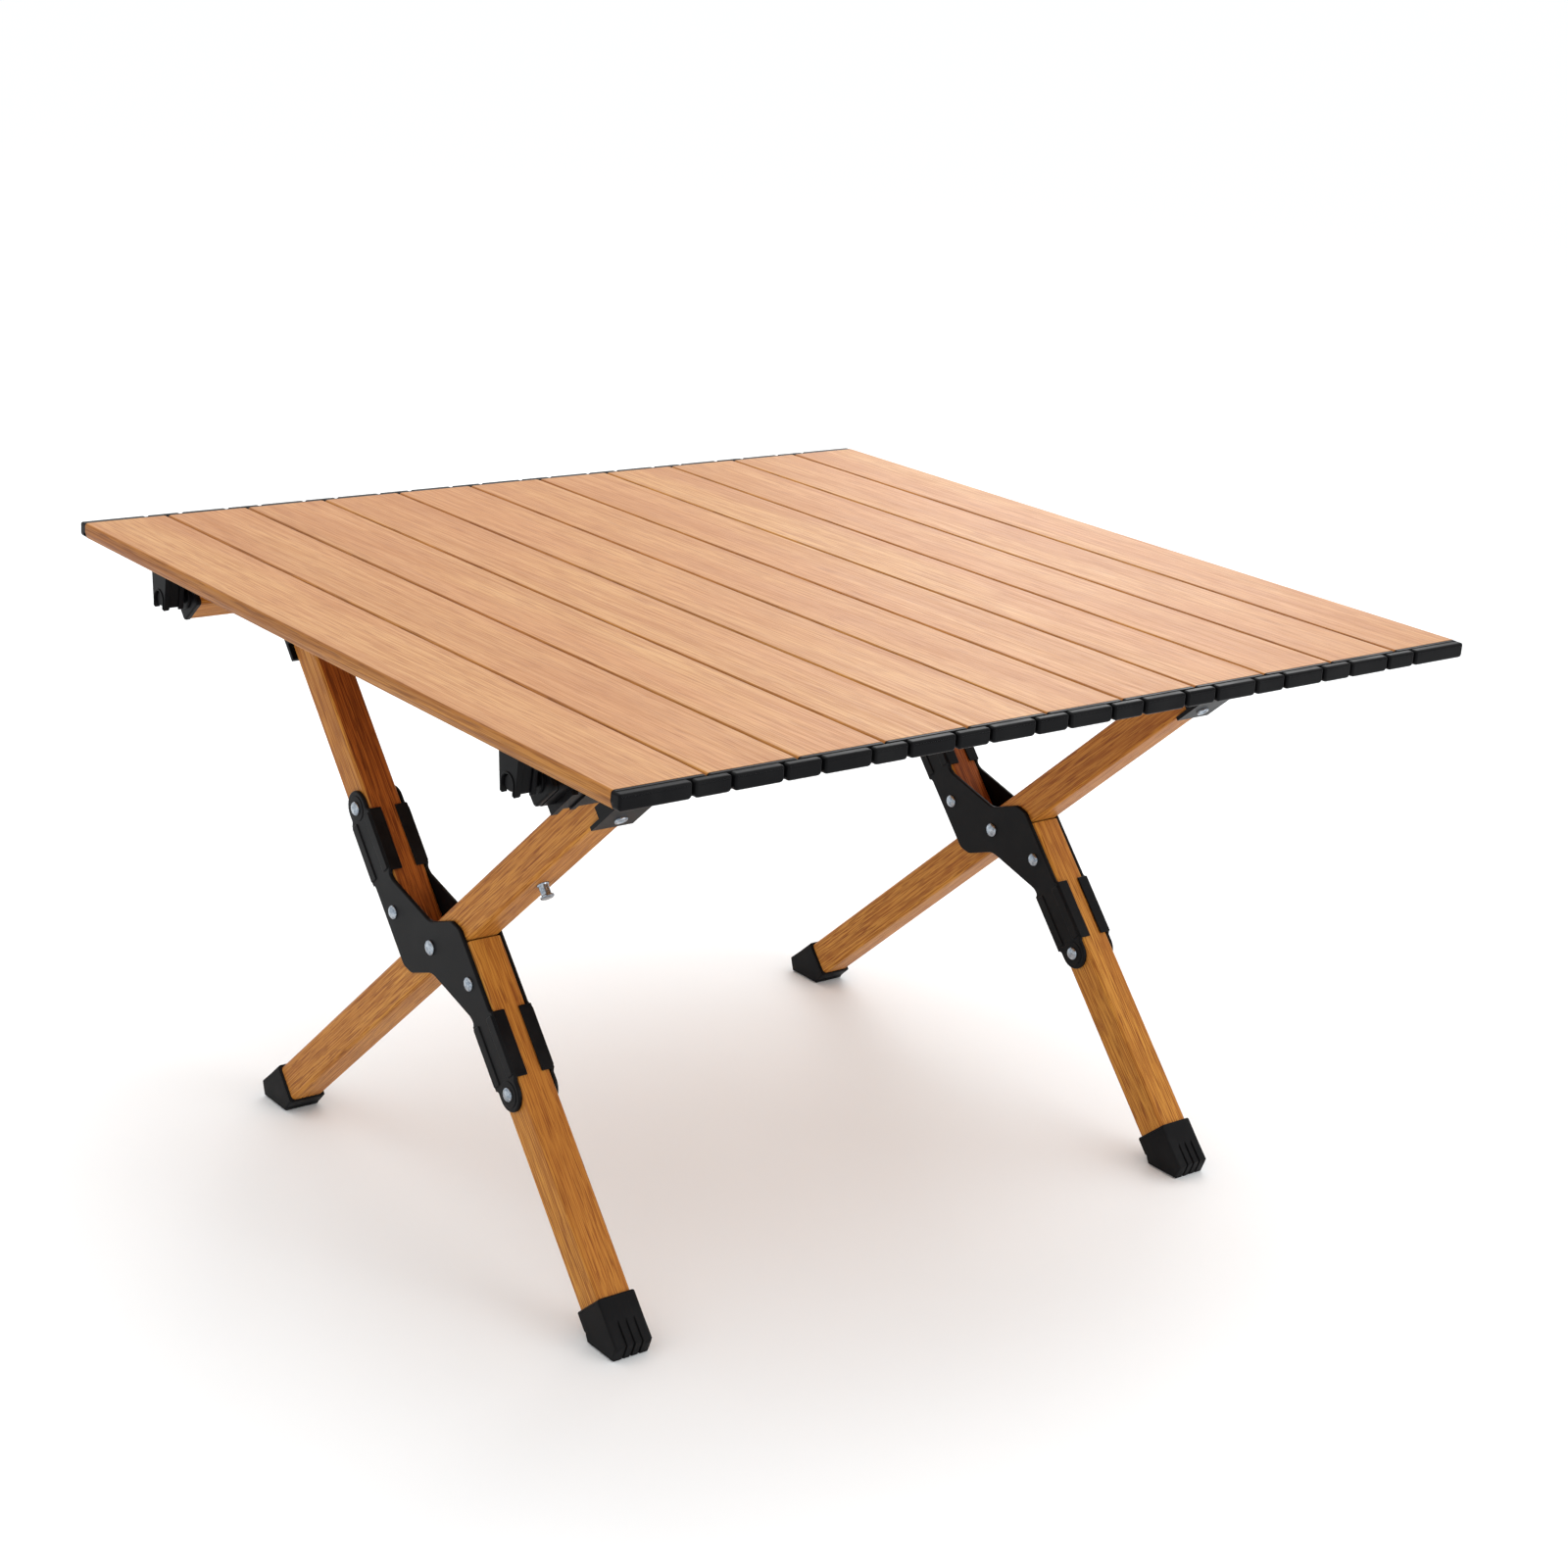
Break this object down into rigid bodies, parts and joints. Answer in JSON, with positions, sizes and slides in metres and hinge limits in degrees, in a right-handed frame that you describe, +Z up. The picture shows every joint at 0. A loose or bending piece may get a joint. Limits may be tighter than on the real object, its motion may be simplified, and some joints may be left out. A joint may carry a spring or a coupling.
{
  "type": "folding side table",
  "caption": "Low folding side table: wood-print slatted roll-up top with capped slat ends, lifted off two scissor leg frames joined by cross rails.",
  "frame": {"origin": "on the floor under the centre of the top, with the table open", "axes": "+Z up from the floor to the top surface, +X across the slats, +Y along the slats away from the long legs' upper ends"},
  "size_m": [0.7524, 0.7182, 0.45],
  "materials": {
    "wood_print_top": "matt wood-grain film on aluminium, light top faces",
    "wood_print_frame": "matt wood-grain film on aluminium tube",
    "black_plastic": "satin moulded plastic",
    "black_rubber": "matt rubber",
    "zinc_steel": "bright zinc plate"
  },
  "bodies": {
    "long_leg_half": {"leg_long_left": "wood_print_frame", "leg_long_right": "wood_print_frame", "rail_near": "wood_print_frame", "bracket_near_left": "black_plastic", "bracket_near_right": "black_plastic", "foot_far_left": "black_rubber", "foot_far_right": "black_rubber", "pivot_pin_left": "zinc_steel", "pivot_pin_right": "zinc_steel", "stud_left": "zinc_steel"},
    "split_leg_half": {"leg_upper_left": "wood_print_frame", "leg_upper_right": "wood_print_frame", "leg_lower_left": "wood_print_frame", "leg_lower_right": "wood_print_frame", "plate_left_outer": "black_plastic", "plate_left_inner": "black_plastic", "plate_right_outer": "black_plastic", "plate_right_inner": "black_plastic", "rail_far": "wood_print_frame", "bracket_far_left": "black_plastic", "bracket_far_right": "black_plastic", "foot_near_left": "black_rubber", "foot_near_right": "black_rubber"},
    "slat_body_01": {"slat_01": "wood_print_top", "cap_near_01": "black_plastic", "cap_far_01": "black_plastic", "clip_near_left": "black_plastic", "clip_far_left": "black_plastic"},
    "slat_body_02": {"slat_02": "wood_print_top", "cap_near_02": "black_plastic", "cap_far_02": "black_plastic"},
    "slat_body_03": {"slat_03": "wood_print_top", "cap_near_03": "black_plastic", "cap_far_03": "black_plastic"},
    "slat_body_04": {"slat_04": "wood_print_top", "cap_near_04": "black_plastic", "cap_far_04": "black_plastic"},
    "slat_body_05": {"slat_05": "wood_print_top", "cap_near_05": "black_plastic", "cap_far_05": "black_plastic"},
    "slat_body_06": {"slat_06": "wood_print_top", "cap_near_06": "black_plastic", "cap_far_06": "black_plastic"},
    "slat_body_07": {"slat_07": "wood_print_top", "cap_near_07": "black_plastic", "cap_far_07": "black_plastic"},
    "slat_body_08": {"slat_08": "wood_print_top", "cap_near_08": "black_plastic", "cap_far_08": "black_plastic"},
    "slat_body_09": {"slat_09": "wood_print_top", "cap_near_09": "black_plastic", "cap_far_09": "black_plastic"},
    "slat_body_10": {"slat_10": "wood_print_top", "cap_near_10": "black_plastic", "cap_far_10": "black_plastic"},
    "slat_body_11": {"slat_11": "wood_print_top", "cap_near_11": "black_plastic", "cap_far_11": "black_plastic", "clip_near_right": "black_plastic", "clip_far_right": "black_plastic"}
  },
  "joints": [
    {"name": "top_lift", "type": "slide", "parent": "long_leg_half", "child": "slat_body_06", "axis": [0, 0, 1], "range_m": [0, 1.1]},
    {"name": "scissor", "type": "hinge", "parent": "long_leg_half", "child": "split_leg_half", "pos_m": [0.268, -0.011, 0.2142], "axis": [1, 0, 0], "range_deg": [0, 88.7]},
    {"name": "seam_01", "type": "hinge", "parent": "slat_body_02", "child": "slat_body_01", "pos_m": [-0.30825, 0, 0.443], "axis": [0, -1, 0], "range_deg": [0, 30]},
    {"name": "seam_02", "type": "hinge", "parent": "slat_body_03", "child": "slat_body_02", "pos_m": [-0.23975, 0, 0.443], "axis": [0, -1, 0], "range_deg": [0, 30]},
    {"name": "seam_03", "type": "hinge", "parent": "slat_body_04", "child": "slat_body_03", "pos_m": [-0.17125, 0, 0.443], "axis": [0, -1, 0], "range_deg": [0, 30]},
    {"name": "seam_04", "type": "hinge", "parent": "slat_body_05", "child": "slat_body_04", "pos_m": [-0.10275, 0, 0.443], "axis": [0, -1, 0], "range_deg": [0, 30]},
    {"name": "seam_05", "type": "hinge", "parent": "slat_body_06", "child": "slat_body_05", "pos_m": [-0.03425, 0, 0.443], "axis": [0, -1, 0], "range_deg": [0, 30]},
    {"name": "seam_06", "type": "hinge", "parent": "slat_body_06", "child": "slat_body_07", "pos_m": [0.03425, 0, 0.443], "axis": [0, 1, 0], "range_deg": [0, 30]},
    {"name": "seam_07", "type": "hinge", "parent": "slat_body_07", "child": "slat_body_08", "pos_m": [0.10275, 0, 0.443], "axis": [0, 1, 0], "range_deg": [0, 30]},
    {"name": "seam_08", "type": "hinge", "parent": "slat_body_08", "child": "slat_body_09", "pos_m": [0.17125, 0, 0.443], "axis": [0, 1, 0], "range_deg": [0, 30]},
    {"name": "seam_09", "type": "hinge", "parent": "slat_body_09", "child": "slat_body_10", "pos_m": [0.23975, 0, 0.443], "axis": [0, 1, 0], "range_deg": [0, 30]},
    {"name": "seam_10", "type": "hinge", "parent": "slat_body_10", "child": "slat_body_11", "pos_m": [0.30825, 0, 0.443], "axis": [0, 1, 0], "range_deg": [0, 30]}
  ],
  "couplings": [
    {"joint": "scissor", "follows": "top_lift", "rad_per_m": 1.4072},
    {"joint": "seam_01", "follows": "top_lift", "rad_per_m": 0.47595},
    {"joint": "seam_02", "follows": "top_lift", "rad_per_m": 0.47595},
    {"joint": "seam_03", "follows": "top_lift", "rad_per_m": 0.47595},
    {"joint": "seam_04", "follows": "top_lift", "rad_per_m": 0.47595},
    {"joint": "seam_05", "follows": "top_lift", "rad_per_m": 0.47595},
    {"joint": "seam_06", "follows": "top_lift", "rad_per_m": 0.47595},
    {"joint": "seam_07", "follows": "top_lift", "rad_per_m": 0.47595},
    {"joint": "seam_08", "follows": "top_lift", "rad_per_m": 0.47595},
    {"joint": "seam_09", "follows": "top_lift", "rad_per_m": 0.47595},
    {"joint": "seam_10", "follows": "top_lift", "rad_per_m": 0.47595}
  ]
}
